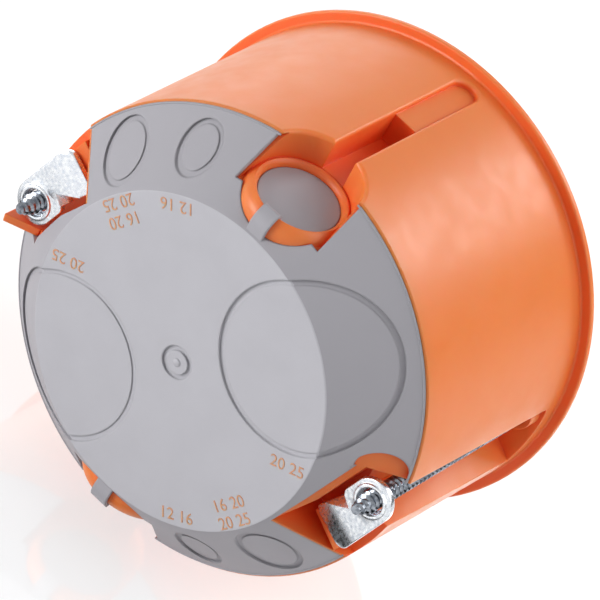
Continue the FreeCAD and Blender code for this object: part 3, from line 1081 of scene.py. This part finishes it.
@dataclass(frozen=True)
class RearMoulding:
    """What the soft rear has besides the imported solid: its round edge, gate nub and size marks."""

    edge_r: float = 33.05    # where the middle of the edge's bead runs
    edge_y: float = 37.44
    bead_r: float = 0.15
    bead_points: int = 10
    bead_steps: float = 1.5  # a degree
    bead_arcs: tuple[tuple[float, float], ...] = ((102.3, 172.5), (201.05, 257.7))    # degrees
    nub_r: float = 0.62
    nub_rise: float = 0.22
    marks: tuple[SizeMark, ...] = (
        SizeMark("mark_large_pair", ("16 20", "20 25"), (17.4, 12.2), (12.2, -17.4)),
        SizeMark("mark_small", ("12 16",), (11.0, 19.1), (19.1, -11.0)),
        SizeMark("mark_side", ("20 25",), (-20.6, 0.0), (-0.94, 0.34)),
    )

    def bead(self, side: Side, start: float, end: float, material: bpy.types.Material) -> None:
        """Rounds the membrane's outer edge along one arc.

        Args:
            side: left for the arc itself, right for its turned copy.
            start: its first direction, in degrees from +X towards +Z.
            end: its last direction.
            material: the finish.
        """
        shape = bmesh.new()
        ring = bmesh.ops.create_circle(
            shape, cap_ends=False, radius=self.bead_r, segments=self.bead_points
        )["verts"]
        bmesh.ops.translate(shape, vec=(self.edge_r, self.edge_y, 0), verts=ring)
        first = Matrix.Rotation(-math.radians(start), 4, "Y")
        bmesh.ops.transform(shape, matrix=first, verts=ring)
        bmesh.ops.spin(
            shape,
            geom=ring + shape.edges[:],
            cent=(0, 0, 0),
            axis=(0, 1, 0),
            angle=-math.radians(end - start),
            steps=round((end - start) * self.bead_steps),
            use_merge=False,
            use_duplicate=False,
        )
        close_and_turn_out(shape)
        bmesh.ops.transform(shape, matrix=side.turn(), verts=shape.verts)
        name = f"membrane_edge_{side.label()}_{round(start)}"
        add_piece(name, shape, material, "box")

    def nub(self, rear_y: float, material: bpy.types.Material) -> None:
        """Builds the small dome that the moulding gate leaves in the middle.

        Args:
            rear_y: the flat rear.
            material: the finish.
        """
        shape = bmesh.new()
        bmesh.ops.create_uvsphere(shape, u_segments=24, v_segments=12, radius=1.0)
        bmesh.ops.scale(shape, vec=(self.nub_r, self.nub_rise, self.nub_r), verts=shape.verts)
        bmesh.ops.translate(shape, vec=(0, rear_y, 0), verts=shape.verts)
        add_piece("gate_nub", shape, material, "box")

    def build(self, grey: bpy.types.Material, orange: bpy.types.Material) -> None:
        """Builds the edges, the nub and the marks.

        Args:
            grey: the membrane's finish.
            orange: the shell's finish, which the marks show.
        """
        rear_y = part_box("entry_membrane")[1].y / MM
        self.nub(rear_y, grey)
        for side in Side:
            for start, end in self.bead_arcs:
                self.bead(side, start, end, grey)
            for mark in self.marks:
                mark.build(side, rear_y, orange)


@dataclass(frozen=True)
class Softbox:
    """A square soft lamp that looks at the middle of the box."""

    name: str
    direction: tuple[float, float, float]
    size_m: float
    level: float             # what a white surface that faces it renders as
    distance_m: float = 0.8
    tint: str = "#FFFFFF"

    def build(self, target: Vector) -> None:
        """Hangs the lamp.

        Args:
            target: the point that it looks at, in metres.
        """
        data = bpy.data.lights.new(self.name, "AREA")
        data.size = self.size_m
        data.color = linear(self.tint)[:3]
        data.energy = self.level * (math.pi * self.distance_m) ** 2
        lamp = bpy.data.objects.new(self.name, data)
        away = Vector(self.direction).normalized()
        lamp.rotation_mode = "QUATERNION"
        lamp.rotation_quaternion = away.to_track_quat("Z", "Y")
        lamp.location = target + away * self.distance_m
        bpy.context.scene.collection.objects.link(lamp)


@dataclass(frozen=True)
class StudioSurround:
    """A pale tent: white to the camera, even as fill light, and dark on one side in reflections."""

    fill: float = 0.36
    bright: str = "#FFFFFF"
    dark: str = "#2E3034"
    mirrored: float = 0.8
    dark_direction: tuple[float, float, float] = (-0.5, -0.8, -0.35)
    dark_reach: tuple[float, float] = (0.3, 0.8)    # cosines where the dark starts and is full

    def build(self) -> None:
        """Sets the scene's world."""
        world = bpy.data.worlds.new("pale_tent")
        bpy.context.scene.world = world
        world.use_nodes = True
        tree = world.node_tree
        tree.nodes.clear()
        way = add_node(tree, "ShaderNodeTexCoord").outputs["Generated"]
        towards = Vector(self.dark_direction).normalized()
        low, high = self.dark_reach
        share = add_node(
            tree, "ShaderNodeVectorMath", {"operation": "DOT_PRODUCT", 1: towards}, {0: way}
        )
        grade = add_node(
            tree,
            "ShaderNodeMapRange",
            {"From Min": low, "From Max": high, "interpolation_type": "SMOOTHSTEP"},
            {"Value": share.outputs["Value"]},
        )
        graded = add_node(
            tree,
            "ShaderNodeMix",
            {"data_type": "RGBA", MIX_A: linear(self.bright), MIX_B: linear(self.dark)},
            {"Factor": grade.outputs["Result"]},
        )
        white = add_node(tree, "ShaderNodeBackground", {"Color": linear(self.bright), "Strength": 1.0})
        fill = add_node(tree, "ShaderNodeBackground", {"Color": linear(self.bright), "Strength": self.fill})
        mirrored = add_node(
            tree,
            "ShaderNodeBackground",
            {"Strength": self.mirrored},
            {"Color": graded.outputs[MIX_RESULT]},
        )
        rays = add_node(tree, "ShaderNodeLightPath")
        either = add_node(
            tree,
            "ShaderNodeMath",
            {"operation": "MAXIMUM"},
            {0: rays.outputs[Ray.MIRRORED.value], 1: rays.outputs[Ray.THROUGH.value]},
        )
        unseen = add_node(
            tree,
            "ShaderNodeMixShader",
            {},
            {0: either.outputs[0], 1: fill.outputs[0], 2: mirrored.outputs[0]},
        )
        shader = add_node(
            tree,
            "ShaderNodeMixShader",
            {},
            {0: rays.outputs[Ray.SEEN.value], 1: unseen.outputs[0], 2: white.outputs[0]},
        )
        add_node(tree, "ShaderNodeOutputWorld", {}, {"Surface": shader.outputs[0]})


@dataclass(frozen=True)
class Viewpoint:
    """The photograph's camera: rear of the box from above, at its left, and rolled."""

    position_mm: tuple[float, float, float] = (-177.20, 530.48, 389.91)
    aim: tuple[float, float, float] = (0.26484, -0.76729, -0.58406)
    roll_deg: float = 31.34
    lens_mm: float = 293.86
    sensor_mm: float = 36.0
    near_m: float = 0.01     # nothing nearer is drawn

    def build(self) -> None:
        """Sets the scene's camera."""
        data = bpy.data.cameras.new("camera")
        data.lens = self.lens_mm
        data.sensor_width = self.sensor_mm
        data.clip_start = self.near_m
        camera = bpy.data.objects.new("camera", data)
        aim = Vector(self.aim).normalized()
        level = aim.cross(Vector((0, 0, 1))).normalized()
        lift = level.cross(aim)
        roll = math.radians(self.roll_deg)
        right = level * math.cos(roll) + lift * math.sin(roll)
        axes = Matrix((right, right.cross(aim), -aim)).transposed().to_4x4()
        camera.matrix_world = Matrix.Translation(Vector(self.position_mm) * MM) @ axes
        bpy.context.scene.collection.objects.link(camera)
        bpy.context.scene.camera = camera


@dataclass(frozen=True)
class Studio:
    """Table, lamps, surround and camera."""

    table_mm: float = 6000.0
    gap_mm: float = 0.05     # between the box and the table
    lamps: tuple[Softbox, ...] = (
        Softbox("key", (0.66, 0.74, 0.1), 0.4, 0.9),
        Softbox("sheen", (0.66, -0.75, 0.05), 0.6, 0.28),
        Softbox("glint", (-0.27, -0.79, 0.55), 0.3, 0.4),
        Softbox("side", (-0.7, -0.2, 0.68), 0.7, 0.55),
    )

    def build(self) -> None:
        """Builds the whole studio round the box."""
        low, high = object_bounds()
        shape = bmesh.new()
        bmesh.ops.create_grid(shape, x_segments=1, y_segments=1, size=self.table_mm / 2)
        bmesh.ops.translate(shape, vec=(0, 0, low[2] / MM - self.gap_mm), verts=shape.verts)
        add_piece("table", shape, GlossyTable().material())
        middle = (Vector(low) + Vector(high)) / 2
        for lamp in self.lamps:
            lamp.build(middle)
            log.info("lamp %s", lamp.name)
        StudioSurround().build()
        Viewpoint().build()
        bpy.context.scene.view_settings.view_transform = "Standard"


@dataclass(frozen=True)
class BackBox:
    """The whole box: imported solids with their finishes, and the pieces that replace some."""

    claw_screw_head_y: float = 0.8
    claw_screw_thread: Thread = Thread(
        radius=1.45, pitch=0.95, depth=0.42, point_length=2.2, point_radius=0.9
    )
    device_screw_head_y: float = 0.6
    device_screw_thread: Thread = Thread(
        radius=1.5, pitch=0.5, depth=0.28, point_length=1.5, point_radius=0.75
    )

    def screws(self) -> list[Screw]:
        """Lists the two long claw screws and the two short device screws.

        Returns:
            The screws, not built yet.
        """
        found = []
        for side in Side:
            node, body = f"claw_screw_{side.label()}", f"{side.label()}_claw_screw"
            found.append(Screw(node, body, "screw_zinc", self.claw_screw_head_y, self.claw_screw_thread))
        for place in Place:
            node, body = f"device_screw_{place.value}", f"{place.value}_device_screw"
            found.append(
                Screw(node, body, "device_screw_zinc", self.device_screw_head_y, self.device_screw_thread)
            )
        return found

    def build(self, frame: dict) -> None:
        """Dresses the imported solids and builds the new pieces.

        Args:
            frame: the loaded frame.
        """
        orange = MouldedPolypropylene().material()
        grey = MouldedElastomer().material()
        sheet = ZincPlate().material()
        # The thread is darker than the sheet, partly from duller plating and partly as painted shade of the
        # channels and grooves it lies in.
        thread = ZincPlate(
            name="zinc_plated_thread", colour="#A3A8B0", dull="#646A73", patch_mm=0.7, roughness=(0.14, 0.3)
        ).material()
        for node, material in (("box_body", orange), ("entry_membrane", grey)):
            for slot in frame["nodes"][node].material_slots:
                slot.material = material
            log.info("%s dressed", node)
        for side in Side:
            ClampClaw(side).build(frame, sheet)
        for screw in self.screws():
            screw.build(frame, thread)
        skin = MouldedPolypropylene(
            name="polypropylene_under_thin_skin", colour="#E59F7E", cloud="#DC9675", edge_round_mm=0.05
        )
        RearMoulding().build(grey, skin.material())


def main() -> None:
    """Builds the box and the studio."""
    logging.basicConfig(level=logging.INFO, format="%(name)s: %(message)s")
    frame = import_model()
    BackBox().build(frame)
    Studio().build()


if __name__ == "__main__":
    main()
